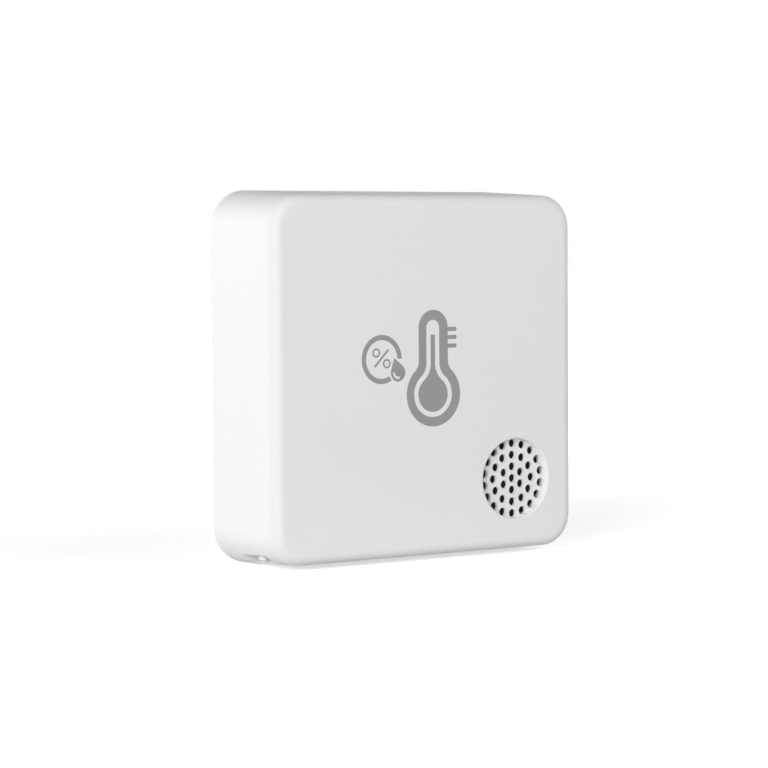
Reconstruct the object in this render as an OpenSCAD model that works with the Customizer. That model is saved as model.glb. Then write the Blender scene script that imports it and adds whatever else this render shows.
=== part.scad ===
// Square temperature and humidity sensor for a wall or a shelf, run by two AAA cells.
// +X is right, +Z is up, the front faces -Y, and the origin is the centre of the wall face.

/* [Housing] */
// Width across the rear edge
body_w = 60; // [54:0.5:72]
// Height across the rear edge
body_h = 60; // [54:0.5:72]
// Depth from the front face to the wall
body_d = 18; // [16:0.1:21]
// How far each side leans in from the rear edge to the front edge
side_draft = 1; // [0.4:0.1:1.4]
// Corner radius at the front edge
corner_r = 5.2; // [4.6:0.1:7]
// Radius of the edge around the front face
front_fillet = 1.8; // [1:0.1:2.4]
// Bevel on the rear edge
rear_bevel = 0.45; // [0.2:0.05:0.6]
// Thickness of the side walls
wall = 1.8; // [1.4:0.1:2]

/* [Grille] */
// Distance of the grille's centre from the right rear edge
grille_in_x = 12.7; // [12:0.1:15]
// Distance of the grille's centre from the bottom rear edge
grille_in_z = 12.5; // [12:0.1:14]
// Diameter of the round recess at its floor
recess_d = 13.1; // [13:0.1:15]
// Depth of the recess below the front face
recess_depth = 1; // [0.8:0.1:1.6]
// Radius of the recess's lip
lip_r = 0.3; // [0.2:0.05:0.6]
// Thickness of the perforated floor
grille_plate = 0.6; // [0.5:0.1:1]
// Diameter of each hole
hole_d = 1.4; // [0.8:0.02:1.5]
// Distance between the rings of holes
ring_pitch = 1.93; // [1.7:0.01:1.95]
// Rings of holes around the middle hole
ring_count = 3; // [1:1:3]

/* [Sensing chamber] */
// Diameter of the dust mesh and of the gasket that presses it
mesh_d = 14.6; // [14:0.1:15.4]
// Opening in the adhesive ring and the gasket
chamber_d = 13.1; // [12:0.1:13.4]
// Thickness of the adhesive foam ring
adhesive_t = 0.7; // [0.4:0.05:0.9]
// Thickness of the dust mesh
mesh_t = 0.1; // [0.05:0.05:0.2]
// Thickness of the rib that centres the mesh
mesh_rib_t = 0.8; // [0.6:0.1:1.2]
// Side of the sensor chip
sensor_w = 3; // [2:0.1:4]
// Height of the sensor chip
sensor_t = 1; // [0.6:0.1:1.4]
// Diameter of the sensor chip's air window
sensor_window_d = 1.6; // [1:0.1:2]

/* [Circuit board] */
// Height of the bosses that carry the board
board_stand = 3.4; // [3:0.1:3.9]
// Thickness of the board
board_t = 1; // [0.8:0.1:1.6]
// Gap between the board's edge and the walls
board_gap = 0.7; // [0.4:0.1:1.2]
// Corner radius of the board
board_r = 2; // [1.6:0.1:2.6]
// Width of the routed slot that keeps heat from the sensor
relief_w = 1.2; // [0.8:0.1:1.6]
// Distance of the routed slot from the sensor
relief_reach = 9.4; // [9:0.1:9.8]

/* [Radio] */
// Length of the radio module
radio_w = 18; // [16:0.5:20]
// Height of the radio module
radio_h = 12; // [10:0.5:13]
// Thickness of the radio module's board
radio_t = 0.8; // [0.6:0.1:1]
// Length of the shield can
shield_w = 11; // [9:0.5:12]
// Thickness of the shield can
shield_t = 1.8; // [1.2:0.1:2.4]
// Gap between the shield can and the module's edges
shield_edge = 0.9; // [0.6:0.1:1.2]
// Corner radius of the shield can
shield_r = 0.6; // [0.3:0.1:1]
// Diameter of the soldered notches along the module
notch_d = 0.7; // [0.4:0.1:0.8]
// Width of the antenna's track
antenna_line = 0.5; // [0.3:0.1:0.6]
// Thickness of the antenna's track
antenna_t = 0.06; // [0.04:0.01:0.1]
// Gap between the antenna and the module's edges
antenna_edge = 1.2; // [0.8:0.1:1.6]
// Distance of the module below the board's middle
radio_drop = 0.6; // [0:0.1:1]
// Gap between the module and the routed slot
radio_gap = 4.2; // [4:0.1:5]

/* [Board parts] */
// Length of a chip part
chip_l = 1.6; // [1:0.1:2]
// Width of a chip part
chip_w = 0.8; // [0.5:0.1:1.2]
// Height of a chip capacitor
chip_cap_t = 0.8; // [0.5:0.05:1]
// Height of a chip resistor
chip_res_t = 0.45; // [0.3:0.05:0.6]
// Height of the indicator
led_t = 0.6; // [0.4:0.1:1]
// Distance between chip parts in a row
chip_step = 2.2; // [2:0.1:2.6]
// Distance of the row beside the module from its end
chip_margin = 3.5; // [3:0.1:4]
// Distance of the parts below the board's top edge
part_drop = 2.5; // [2:0.1:3]
// Side of the reservoir capacitor's base
can_base = 5.3; // [4:0.1:6]
// Thickness of the reservoir capacitor's base
can_base_t = 0.6; // [0.4:0.1:1]
// Cut corners of the reservoir capacitor's base
can_cut = 0.9; // [0.5:0.1:1.2]
// Diameter of the reservoir capacitor's can
can_d = 5; // [4:0.1:5.6]
// Height of the reservoir capacitor's can
can_h = 4.4; // [3:0.1:5]
// Length of the regulator's body
reg_l = 2.9; // [2:0.1:3.2]
// Width of the regulator's body
reg_w = 1.6; // [1.2:0.1:2]
// Height of the regulator's body
reg_t = 1.1; // [0.8:0.1:1.4]
// Distance between the regulator's leads
reg_pitch = 0.95; // [0.6:0.05:1]
// Width of a lead
lead_w = 0.4; // [0.2:0.05:0.5]
// Length of a lead on each side of the regulator's body
lead_l = 0.6; // [0.4:0.1:1]
// Thickness of a lead
lead_t = 0.2; // [0.1:0.05:0.3]

/* [Button] */
// Distance of the button's axis from the left rear edge
button_in = 4.5; // [4.2:0.1:5]
// Diameter of the button
button_d = 1.6; // [1.4:0.1:1.8]
// Depth of the button's tip inside the bottom face
button_recess = 0.6; // [0.4:0.05:0.9]
// Travel of the button
button_travel = 0.4; // [0.2:0.05:0.5]
// Length of the finger notch in front of the button's axis
notch_front = 4.4; // [3.6:0.1:4.8]
// Length of the finger notch behind the button's axis
notch_back = 2.8; // [2.2:0.1:3.2]
// Reach of the finger notch from the left rear edge
notch_in = 5.9; // [5.5:0.1:6.8]
// Height of the finger notch
notch_h = 1.75; // [1.5:0.05:2]
// Radius of the finger notch's inner corners
notch_r = 0.5; // [0.3:0.1:0.9]
// Thickness of the wall around the finger notch
notch_wall = 1; // [0.8:0.1:1.1]
// Thickness of the button's flange
flange_t = 0.8; // [0.6:0.1:1]
// Diameter of the button's flange
flange_d = 2.6; // [2.2:0.1:2.8]
// Height of the switch's axis above the board
switch_axis = 3.5; // [3.2:0.1:3.9]
// Length of the switch along the button
case_l = 3; // [2.6:0.1:3.4]
// Width of the switch
case_w = 2.8; // [2.4:0.1:3]
// Height of the switch
case_t = 4.9; // [4.4:0.1:5.4]
// Diameter of the switch's plunger
plunger_d = 1.2; // [1:0.1:1.4]
// Length of the plunger outside the switch
plunger_out = 0.8; // [0.7:0.1:1.2]

/* [Batteries] */
// Gap between a cell and the cover
cell_room = 0.5; // [0.4:0.1:1]
// Gap between the tray's ends and the side walls
tray_gap = 0.5; // [0.3:0.1:1]
// Gap between the tray and the cover's upper arms
tray_room = 1; // [0.8:0.1:1.4]
// Diameter of a cell's positive terminal
nub_d = 3.8; // [3:0.1:4.4]
// Height of a cell's positive terminal
nub_h = 0.8; // [0.6:0.1:1]
// Bevel on a cell's ends
cell_bevel = 0.35; // [0.2:0.05:0.5]
// Gap between the two cells
cell_gap = 0.4; // [0.2:0.1:0.8]
// Length of a fitted contact spring
spring_l = 5; // [4.6:0.1:5.2]
// Wire diameter of a contact spring
spring_wire = 0.6; // [0.4:0.05:0.62]
// Turns of a contact spring
spring_turns = 4; // [3:1:4]
// Diameter of a contact spring at its plate
spring_base_d = 5.6; // [5:0.1:6]
// Diameter of a contact spring at its cell
spring_tip_d = 4; // [3.4:0.1:4.6]
// Height of the bump that meets a positive terminal
bump_h = 0.9; // [0.6:0.1:1]
// Diameter of the bump at its tip
bump_tip_d = 2.4; // [2:0.1:3]
// Diameter of the bump at its plate
bump_root_d = 4.4; // [4:0.1:5]
// Thickness of the contact plates
contact_t = 0.3; // [0.2:0.05:0.4]
// How much narrower than a cell a contact plate is
contact_inset = 4; // [3.8:0.1:4.4]
// How much taller than wide a contact plate is
plate_extra = 1.5; // [1:0.1:2]
// Width of a contact's leg
leg_w = 1.2; // [1:0.1:1.4]
// Distance from the board to the far edge of the outer leg
leg_reach = 2.8; // [2.7:0.1:3]
// Distance of the negative leg's foot below the tray
near_foot = 3.3; // [3:0.1:3.6]
// Distance of the positive leg's foot below the tray
far_foot = 5.8; // [5.4:0.1:6.2]
// Thickness of the tray's walls
tray_wall = 1.2; // [1:0.1:1.3]
// Thickness of the tray's floor
tray_floor = 1; // [0.8:0.1:1.1]
// Height of the ribs under the tray
tray_stand = 2.2; // [2:0.1:2.4]
// Corner radius of the tray
tray_r = 1; // [0.6:0.1:1.4]
// Diameter of the pegs that place the tray
peg_d = 2; // [1.6:0.1:2.4]
// Distance of a peg from the end of the bay
peg_in = 3.5; // [3:0.1:5]
// Distance of a screw ear from the tray's end
ear_in = 4.7; // [4.2:0.1:6]
// Thickness of the screw ears
ear_t = 1.2; // [1:0.1:1.6]

/* [Rear cover] */
// Thickness of the cover
cover_t = 2; // [1.6:0.1:2.1]
// Width of the housing's rim around the cover
rim = 0.9; // [0.7:0.05:1.1]
// Length of the cover's locating arms
arm_l = 5; // [4:0.1:6]
// Width of the cover's locating arms
arm_w = 6; // [4:0.5:10]
// Thickness of the cover's locating arms
arm_t = 1.2; // [1:0.1:1.3]
// Distance between the two wall screw holes
wall_hole_span = 32; // [24:1:36]
// Distance of the wall screw holes below the middle
wall_hole_drop = 12; // [10:0.5:16]
// Diameter of the wall screw holes
wall_hole_d = 3.6; // [3:0.1:4.2]
// Thickness of the collars around the wall screw holes
collar_t = 0.8; // [0.6:0.1:1]
// Width of a collar around a wall screw hole
collar_w = 2.16; // [1.6:0.02:2.4]
// Bevel on the cover's edge
cover_bevel = 0.3; // [0.2:0.05:0.4]
// Width of the pry slot in the bottom rim
pry_w = 10; // [6:0.5:16]

/* [Fits] */
// Gap between the cover's edge and the rim
cover_gap = 0.1; // [0.05:0.05:0.2]
// Gap under a seated moving piece
seat_gap = 0.05; // [0.02:0.01:0.1]
// Radial gap of the button in its bore
button_gap = 0.05; // [0.02:0.01:0.08]
// Gap around pieces that drop into place
drop_gap = 0.2; // [0.15:0.05:0.3]
// Radial gap of a screw in its pilot hole
screw_gap = 0.05; // [0.02:0.01:0.1]
// Gap between the cover's ribs and the cells
hold_gap = 0.35; // [0.3:0.05:0.5]

/* [Screws] */
// Shank diameter of the small screws
screw_d = 1.6; // [1.4:0.1:2]
// Head diameter of the small screws
screw_head_d = 3.6; // [3:0.1:4]
// Head height of the small screws
screw_head_h = 1.3; // [1:0.1:1.6]
// Depth of the screws in their bosses
screw_bite = 2.8; // [2.2:0.1:3]
// Diameter of the bosses
boss_d = 4.6; // [4.2:0.1:5]
// Diameter of the holes that the screws pass through
screw_hole_d = 2.2; // [2:0.1:2.4]
// Distance of the board's screws from its lower edge
board_screw_in = 3.2; // [3:0.1:3.6]
// Distance of a board screw from the module's end
board_screw_gap = 2; // [1.9:0.1:2.4]
// Distance of the other board screw from the corner's axis
corner_screw_gap = 6.3; // [6:0.1:7]
// Distance of the indicator from the corner's axis
led_gap = 6.5; // [6:0.1:7]

/* [Hidden] */
$fn = 64;

// A cut runs this far past the face that it opens
past = 1;
// A boss or rib is rooted this deep in the wall that it stands on
root = 0.5;

// The rounded corners turn about these axes, at every depth
corner_x = body_w / 2 - side_draft - corner_r;
corner_z = body_h / 2 - side_draft - corner_r;
rear_r = corner_r + side_draft;
draft_angle = atan(side_draft / body_d);

// Depths, as Y, from the front face to the back
front_y = -body_d;
front_wall = recess_depth + grille_plate;
inner_y = front_y + front_wall;
board_y = inner_y + board_stand;
board_rear = board_y + board_t;
tray_y = inner_y + tray_stand;
tray_floor_y = tray_y + tray_floor;
cell_d = -cover_t - cell_room - tray_floor_y - drop_gap;
cell_y = tray_floor_y + drop_gap + cell_d / 2;
ledge_y = -cover_t - seat_gap;

// Inside half sizes at a depth
function inner_half_w(y) = body_w / 2 + side_draft * y / body_d - wall;
function inner_half_h(y) = body_h / 2 + side_draft * y / body_d - wall;

// Battery bay, under the cover's upper arms. The cells fill it, and are AAA cells at the usual sizes.
tray_half = inner_half_w(front_y) - tray_gap;
bay_half = tray_half - tray_wall;
contact_in = bay_half - contact_t;
cell_l = 2 * contact_in - spring_l - bump_h;
tray_h = 2 * (cell_d + drop_gap + tray_wall) + cell_gap;
tray_top = inner_half_h(front_y) - arm_t - tray_room;
tray_bottom = tray_top - tray_h;
tray_mid = tray_top - tray_h / 2;
upper_z = tray_mid + (cell_d + cell_gap) / 2;
lower_z = tray_mid - (cell_d + cell_gap) / 2;
contact_w = cell_d - contact_inset;
contact_low = cell_y - contact_w / 2;
plate_h = contact_w + plate_extra;
end_wall_y = cell_y + contact_w / 2 + drop_gap;
long_wall_y = cell_y + cell_d / 10;
cradle_y = cell_y - cell_d / 4;
rib_x = bay_half / 2;
rib_tip_y = cell_y + cell_d / 5;
rib_low = lower_z + cell_d / 12;
rib_high = upper_z - cell_d / 12;
peg_x = bay_half - peg_in;
ear_x = tray_half - ear_in;
ear_r = boss_d / 2 + drop_gap;
tray_screw_z = tray_bottom - ear_r;

// Contact springs
coil_steps = 8;
coil_sides = 6;
coil_clear = seat_gap / 2;
coil_rings = spring_turns * coil_steps;

// Sensing chamber
grille_x = body_w / 2 - grille_in_x;
grille_z = grille_in_z - body_h / 2;
mesh_y = inner_y + adhesive_t;
gasket_y = mesh_y + mesh_t;

// Circuit board
board_half = inner_half_w(front_y) - board_gap;
board_low = -inner_half_h(front_y) + board_gap;
board_top = tray_bottom - 2 * drop_gap;
board_screw_z = board_low + board_screw_in;
slot_x = grille_x - relief_reach;
slot_z = grille_z + relief_reach;

// Radio module, between the routed slot and the left side
radio_right = slot_x - relief_w / 2 - radio_gap;
radio_x = radio_right - radio_w / 2;
radio_z = (board_low + board_top) / 2 - radio_drop;
radio_rear = board_rear + radio_t;
shield_x = radio_right - radio_w + shield_r + shield_w / 2;
notch_count = 8;
antenna_legs = 5;

// Places of the small parts on the board
row_x = radio_right - radio_w - chip_margin;
regulator_at = [radio_right + reg_l, board_top - part_drop - reg_w];
chip_pair_x = regulator_at[0] + 2 * reg_w;
capacitor_at = [chip_pair_x + chip_w + drop_gap + can_base / 2, board_top - part_drop - reg_t];
led_at = [chip_l - corner_x, led_gap - corner_z];
chip_cap_at = [
    [chip_pair_x, board_top - part_drop], [chip_pair_x, board_top - part_drop - chip_step],
    [radio_x + 2 * chip_l, board_top - part_drop],
    [row_x, radio_z + 2 * chip_step], [row_x, radio_z + chip_step]
];
chip_res_at = [
    [row_x, radio_z], [row_x, radio_z - chip_step], [row_x, radio_z - 2 * chip_step],
    [radio_x - chip_l, board_top - part_drop], [radio_x - 3 * chip_l, board_top - part_drop]
];
board_screw_x = [corner_screw_gap - corner_x, radio_right + board_screw_gap];

// Button and switch, as distances down from the level of the lower corners' axes
button_x = button_in - body_w / 2;
button_y = board_rear + switch_axis;
skin_r = rear_r + side_draft * button_y / body_d;
notch_top = skin_r - notch_h;
block_in = notch_top - notch_wall;
flange_out = block_in - seat_gap;
flange_in = flange_out - flange_t;
case_out = flange_in - plunger_out;
bore_l = plunger_d;

// Rear cover
cover_r = rear_r - rim - cover_gap;
upper_arm_x = body_w / 4;
lower_arm_x = body_w / 5;

// Extrudes a drawing of X and Z from one depth to another
module slab(y0, y1) {
    translate([0, y1, 0]) rotate([90, 0, 0]) linear_extrude(y1 - y0) children();
}

// Extrudes a drawing of Y and Z from one X to another
module sheet(x0, x1) {
    translate([x0, 0, 0]) rotate([90, 0, 90]) linear_extrude(x1 - x0) children();
}

// Places X along the button's axis, pointing down
module at_button() {
    translate([button_x, button_y, -corner_z]) rotate([0, 90, 0]) children();
}

// Runs an edge section around the four sides and corners, and fills the middle.
// The section is drawn as distance from a corner's axis against distance from the wall.
module around(v0, v1) {
    sx = [1, -1, -1, 1];
    sz = [1, 1, -1, -1];
    rotate([90, 0, 0]) {
        translate([-corner_x, -corner_z, v0]) cube([2 * corner_x, 2 * corner_z, v1 - v0]);
        for (q = [0:3]) {
            translate([sx[q] * corner_x, sz[q] * corner_z, 0])
                rotate([0, 0, 90 * q]) rotate_extrude(angle = 90) children();
            out = q % 2 == 0 ? corner_x : corner_z;
            along = q % 2 == 0 ? corner_z : corner_x;
            rotate([0, 0, 90 * q]) translate([out, along, 0])
                rotate([90, 0, 0]) linear_extrude(2 * along) children();
        }
    }
}

// Edge section of the housing's outside, with the drafted side tangent to the fillet
module outside_section() {
    fillet_u = corner_r - front_fillet * (1 - sin(draft_angle)) / cos(draft_angle);
    intersection() {
        union() {
            square([fillet_u, body_d]);
            translate([fillet_u, body_d - front_fillet]) {
                circle(front_fillet);
                rotate(draft_angle) translate([-fillet_u / 2, -2 * body_d])
                    square([fillet_u / 2 + front_fillet, 2 * body_d]);
            }
        }
        polygon([
            [0, 0], [rear_r - rear_bevel, 0], [rear_r + past, rear_bevel + past],
            [rear_r + past, body_d + past], [0, body_d + past]
        ]);
    }
}

// Edge section of the housing's inside
module inside_section() {
    v = body_d - front_wall;
    front_r = corner_r + side_draft * front_wall / body_d - wall;
    polygon([[0, -past], [rear_r - wall, -past], [front_r, v], [0, v]]);
}

// Edge section of the seat for the rear cover
module seat_section() {
    translate([0, -past]) square([rear_r - rim, past - ledge_y]);
}

// Edge section of the rear cover
module cover_section() {
    polygon([
        [0, 0], [cover_r - cover_bevel, 0], [cover_r, cover_bevel], [cover_r, cover_t], [0, cover_t]
    ]);
}

// The places of the grille's holes, ring by ring
module grille_holes() {
    translate([grille_x, grille_z]) {
        circle(d = hole_d);
        for (ring = [1:ring_count], k = [1:6 * ring]) {
            turn = 90 + 60 * k / ring;
            translate(ring * ring_pitch * [cos(turn), sin(turn)]) circle(d = hole_d);
        }
    }
}

// The round recess, with a rounded lip at the front face
module grille_recess() {
    translate([grille_x, front_y, grille_z]) rotate([-90, 0, 0]) rotate_extrude() {
        translate([0, -past]) square([recess_d / 2, recess_depth + past]);
        difference() {
            translate([0, -past]) square([recess_d / 2 + lip_r, past + lip_r]);
            translate([recess_d / 2 + lip_r, lip_r]) circle(lip_r);
        }
    }
}

// A rectangle with rounded corners, from its half sizes
module rounded(half_w, half_h, r) {
    square([2 * half_w, 2 * (half_h - r)], center = true);
    square([2 * (half_w - r), 2 * half_h], center = true);
    for (sx = [-1, 1], sz = [-1, 1]) translate([sx * (half_w - r), sz * (half_h - r)]) circle(r);
}

// The finger notch, or the block around it, open past the left side and the bottom
module notch(grow, top, r, tilt = 0) {
    left = -body_w / 2 - past - r;
    right = notch_in - body_w / 2 + grow;
    front = button_y - notch_front - grow;
    rear = button_y + notch_back + grow;
    high = body_h / 2 + past - corner_z - top;
    translate([(left + right) / 2, (front + rear) / 2, -corner_z - top]) rotate([tilt, 0, 0])
        translate([0, 0, -high]) linear_extrude(high)
            rounded((right - left) / 2, (rear - front) / 2, r);
}

// The finger notch, the button's bore and the room for its flange, at the lower left corner
module button_cut() {
    notch(0, notch_top, notch_r, -atan(side_draft / body_d));
    at_button() {
        sheet(block_in - past, notch_top + root) circle(d = button_d + 2 * button_gap);
        sheet(flange_in - button_travel, block_in) circle(d = flange_d + 2 * drop_gap);
    }
}

module cavity() {
    difference() {
        around(-past, body_d - front_wall) inside_section();
        notch(notch_wall, block_in, notch_r + notch_wall);
    }
}

module boss_places() {
    for (side = [-1, 1]) translate([side * ear_x, tray_screw_z]) children();
    for (x = board_screw_x) translate([x, board_screw_z]) children();
}

// Bosses, ribs and pegs that stand on the inside of the front wall
module inner_supports() {
    slab(inner_y - root, board_y) boss_places() circle(d = boss_d);
    slab(inner_y - root, board_y - drop_gap) translate([grille_x, grille_z]) difference() {
        circle(d = mesh_d + drop_gap + 2 * mesh_rib_t);
        circle(d = mesh_d + drop_gap);
    }
    for (side = [-1, 1]) {
        slab(inner_y - root, tray_y) translate([side * rib_x, tray_mid])
            square([tray_wall, tray_h - 4 * tray_wall], center = true);
        slab(inner_y - root, tray_floor_y + root) translate([side * peg_x, tray_mid]) circle(d = peg_d);
    }
}

module front_housing() {
    color("white") difference() {
        union() {
            difference() {
                around(0, body_d) outside_section();
                cavity();
                around(-past, -ledge_y) seat_section();
            }
            inner_supports();
        }
        grille_recess();
        slab(front_y, inner_y + past) grille_holes();
        slab(board_y - screw_bite - drop_gap, board_y + past)
            boss_places() circle(d = screw_d + 2 * screw_gap);
        button_cut();
        translate([-pry_w / 2, -cover_t / 2, -body_h / 2 - past])
            cube([pry_w, cover_t, past + rim + root]);
    }
}

// A locating arm under the wall at the top, drawn in Y and Z
module arm_outline() {
    tip = -cover_t - arm_l;
    z = inner_half_h(tip) - drop_gap;
    lead = arm_t / 2;
    polygon([
        [root - cover_t, z], [tip + lead, z], [tip, z - lead], [tip, z - arm_t],
        [root - cover_t, z - arm_t]
    ]);
}

// A rib that reaches into the valley between the cells, drawn in Y and Z
module cell_rib_outline() {
    difference() {
        translate([rib_tip_y, rib_low]) square([root - cover_t - rib_tip_y, rib_high - rib_low]);
        for (z = [lower_z, upper_z]) translate([cell_y, z]) circle(d = cell_d + 2 * hold_gap);
    }
}

module rear_cover() {
    collar_d = wall_hole_d + 2 * collar_w;
    color("white") difference() {
        union() {
            around(0, cover_t) cover_section();
            for (side = [-1, 1]) {
                sheet(side * upper_arm_x - arm_w / 2, side * upper_arm_x + arm_w / 2) arm_outline();
                sheet(side * lower_arm_x - arm_w / 2, side * lower_arm_x + arm_w / 2)
                    mirror([0, 1]) arm_outline();
                sheet(side * rib_x - tray_wall / 2, side * rib_x + tray_wall / 2) cell_rib_outline();
                slab(-cover_t - collar_t, root - cover_t)
                    translate([side * wall_hole_span / 2, -wall_hole_drop]) circle(d = collar_d);
            }
        }
        slab(-cover_t - collar_t - past, past) for (side = [-1, 1])
            translate([side * wall_hole_span / 2, -wall_hole_drop]) circle(d = wall_hole_d);
    }
}

// The button is a stem with a domed tip, kept in by a flange behind the wall
module pairing_button() {
    tip = skin_r - button_recess;
    dome_r = button_d;
    color("white") at_button() rotate([0, 90, 0]) {
        translate([0, 0, flange_in]) cylinder(d = flange_d, h = flange_t);
        intersection() {
            translate([0, 0, flange_in]) cylinder(d = button_d, h = tip - flange_in);
            translate([0, 0, tip - dome_r]) sphere(dome_r);
        }
        translate([0, 0, flange_in]) cylinder(d = button_d, h = notch_top - flange_in);
    }
}

module dust_mesh() {
    color("black") slab(mesh_y, gasket_y) translate([grille_x, grille_z]) circle(d = mesh_d);
}

module chamber_ring() {
    translate([grille_x, grille_z]) difference() {
        circle(d = mesh_d);
        circle(d = chamber_d);
    }
}

module mesh_adhesive_ring() {
    color("white") slab(inner_y, mesh_y) chamber_ring();
}

module sensor_gasket() {
    color("dimgray") slab(gasket_y, board_y) chamber_ring();
}

module board_outline() {
    high = board_top - board_low - board_r;
    translate([-board_half, board_low + board_r]) square([2 * board_half, high]);
    translate([board_r - board_half, board_low])
        square([2 * (board_half - board_r), board_r]);
    for (side = [-1, 1])
        translate([side * (board_half - board_r), board_low + board_r]) circle(board_r);
}

// An L-shaped slot between the sensor's corner of the board and the rest
module relief_slot() {
    foot = grille_z - relief_reach / 2;
    end = grille_x + relief_reach / 2;
    translate([slot_x - relief_w / 2, foot]) square([relief_w, slot_z - foot]);
    translate([slot_x, slot_z - relief_w / 2]) square([end - slot_x, relief_w]);
    translate([slot_x, slot_z]) circle(d = relief_w);
}

module main_board() {
    color("seagreen") slab(board_y, board_rear) difference() {
        board_outline();
        boss_places() circle(d = screw_hole_d);
        relief_slot();
    }
}

module humidity_sensor() {
    color("dimgray") difference() {
        slab(board_y - sensor_t, board_y) translate([grille_x, grille_z]) square(sensor_w, center = true);
        slab(board_y - sensor_t - past, board_y - sensor_t / 2)
            translate([grille_x, grille_z]) circle(d = sensor_window_d);
    }
}

// The module's board has half-round soldered notches along its long edges
module radio_board() {
    step = shield_w / notch_count;
    color("darkgreen") slab(board_rear, radio_rear) difference() {
        translate([radio_x, radio_z]) square([radio_w, radio_h], center = true);
        for (k = [0:notch_count - 1], side = [-1, 1])
            translate([shield_x + (k - (notch_count - 1) / 2) * step, radio_z + side * radio_h / 2])
                circle(d = notch_d);
    }
}

module radio_shield() {
    color("silver") slab(radio_rear, radio_rear + shield_t) translate([shield_x, radio_z])
        rounded(shield_w / 2, radio_h / 2 - shield_edge, shield_r);
}

// A folded copper track at the free end of the module
module radio_antenna() {
    x0 = shield_x + shield_w / 2 + shield_edge;
    x1 = radio_right - antenna_line;
    pitch = (x1 - x0 - antenna_line) / (antenna_legs - 1);
    h = radio_h - 2 * antenna_edge;
    color("goldenrod") slab(radio_rear, radio_rear + antenna_t) for (k = [0:antenna_legs - 1]) {
        translate([x0 + k * pitch, radio_z - h / 2]) square([antenna_line, h]);
        if (k < antenna_legs - 1)
            translate([x0 + k * pitch, radio_z + (k % 2 == 0 ? h / 2 - antenna_line : -h / 2)])
                square([pitch + antenna_line, antenna_line]);
    }
}

module switch_case() {
    color("black") at_button() difference() {
        translate([case_out - case_l, -switch_axis, -case_w / 2]) cube([case_l, case_t, case_w]);
        sheet(case_out - bore_l, case_out + past) circle(d = plunger_d + 2 * button_gap);
    }
}

module switch_plunger() {
    inside = bore_l - button_travel - 2 * seat_gap;
    color("ivory") at_button() sheet(case_out - inside, flange_in) circle(d = plunger_d);
}

// A small block that lies on the rear of the board
module board_part(at, size, t) {
    slab(board_rear, board_rear + t) translate(at) square(size, center = true);
}

module status_led() {
    color("lightyellow") board_part(led_at, [chip_l, chip_w], led_t);
}

// A can on a square base, with the corners cut at one end
module reservoir_capacitor() {
    base_rear = board_rear + can_base_t;
    far = can_base - can_cut;
    color("silver") {
        slab(board_rear, base_rear) translate(capacitor_at - [can_base, can_base] / 2) polygon([
            [0, 0], [far, 0], [can_base, can_cut], [can_base, far], [far, can_base], [0, can_base]
        ]);
        slab(base_rear, base_rear + can_h) translate(capacitor_at) circle(d = can_d);
    }
}

module voltage_regulator() {
    color("black") {
        board_part(regulator_at, [reg_l, reg_w], reg_t);
        for (k = [-1:1])
            board_part(regulator_at + [k * reg_pitch, 0], [lead_w, reg_w + 2 * lead_l], lead_t);
    }
}

module chip_capacitors() {
    color("tan") for (at = chip_cap_at) board_part(at, [chip_l, chip_w], chip_cap_t);
}

module chip_resistors() {
    color("black") for (at = chip_res_at) board_part(at, [chip_l, chip_w], chip_res_t);
}

// Tray with low long walls, high end walls, cradles under the cells and two screw ears
module battery_tray() {
    mid = [0, tray_mid];
    color("whitesmoke") difference() {
        union() {
            difference() {
                slab(tray_y, long_wall_y) translate(mid) rounded(tray_half, tray_h / 2, tray_r);
                slab(tray_floor_y, long_wall_y + past) translate(mid)
                    square([2 * bay_half, tray_h - 2 * tray_wall], center = true);
            }
            for (side = [-1, 1]) {
                end_x = side * (bay_half + tray_wall / 2);
                sheet(end_x - tray_wall / 2, end_x + tray_wall / 2)
                    translate([tray_y, tray_bottom + tray_r])
                        square([end_wall_y - tray_y, tray_h - 2 * tray_r]);
                sheet(side * rib_x - tray_wall, side * rib_x + tray_wall) cradle_outline();
                slab(board_rear, board_rear + ear_t) translate([side * ear_x, tray_screw_z]) {
                    circle(ear_r);
                    translate([-ear_r, 0]) square([2 * ear_r, ear_r + tray_wall / 2]);
                }
            }
        }
        slab(tray_y - past, tray_floor_y + past) for (side = [-1, 1])
            translate([side * peg_x, tray_mid]) circle(d = peg_d + drop_gap);
        slab(board_rear - past, board_rear + ear_t + past) for (side = [-1, 1])
            translate([side * ear_x, tray_screw_z]) circle(d = screw_hole_d);
        translate([-bay_half - drop_gap / 2, board_rear, tray_bottom - past])
            cube([contact_t + drop_gap, leg_reach + drop_gap, tray_wall + 2 * past]);
    }
}

// A cradle under the two cells, drawn in Y and Z
module cradle_outline() {
    foot_y = tray_floor_y - tray_floor / 2;
    h = tray_h - tray_wall;
    difference() {
        translate([foot_y, tray_mid - h / 2]) square([cradle_y - foot_y, h]);
        for (z = [lower_z, upper_z]) translate([cell_y, z]) circle(d = cell_d + 2 * drop_gap);
    }
}

// A cell along X, with its positive terminal toward +X
module cell() {
    r = cell_d / 2;
    in = r - cell_bevel;
    l = cell_l - nub_h;
    translate([-contact_in + spring_l, cell_y, 0]) rotate([0, 90, 0]) rotate_extrude()
        polygon([
            [0, 0], [in, 0], [r, cell_bevel], [r, l - cell_bevel], [in, l],
            [nub_d / 2, l], [nub_d / 2, cell_l], [0, cell_l]
        ]);
}

module upper_cell() {
    color("slategray") translate([0, 0, upper_z]) cell();
}

module lower_cell() {
    color("slategray") translate([0, 0, lower_z]) mirror([1, 0, 0]) cell();
}

module plate_outline(z) {
    translate([contact_low, z - plate_h / 2]) square([contact_w, plate_h]);
}

// A bump that meets a positive terminal, on a plate at the +X end
module bump(z) {
    translate([contact_in - bump_h, cell_y, z]) rotate([0, 90, 0])
        cylinder(d1 = bump_tip_d, d2 = bump_root_d, h = bump_h);
}

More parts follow.
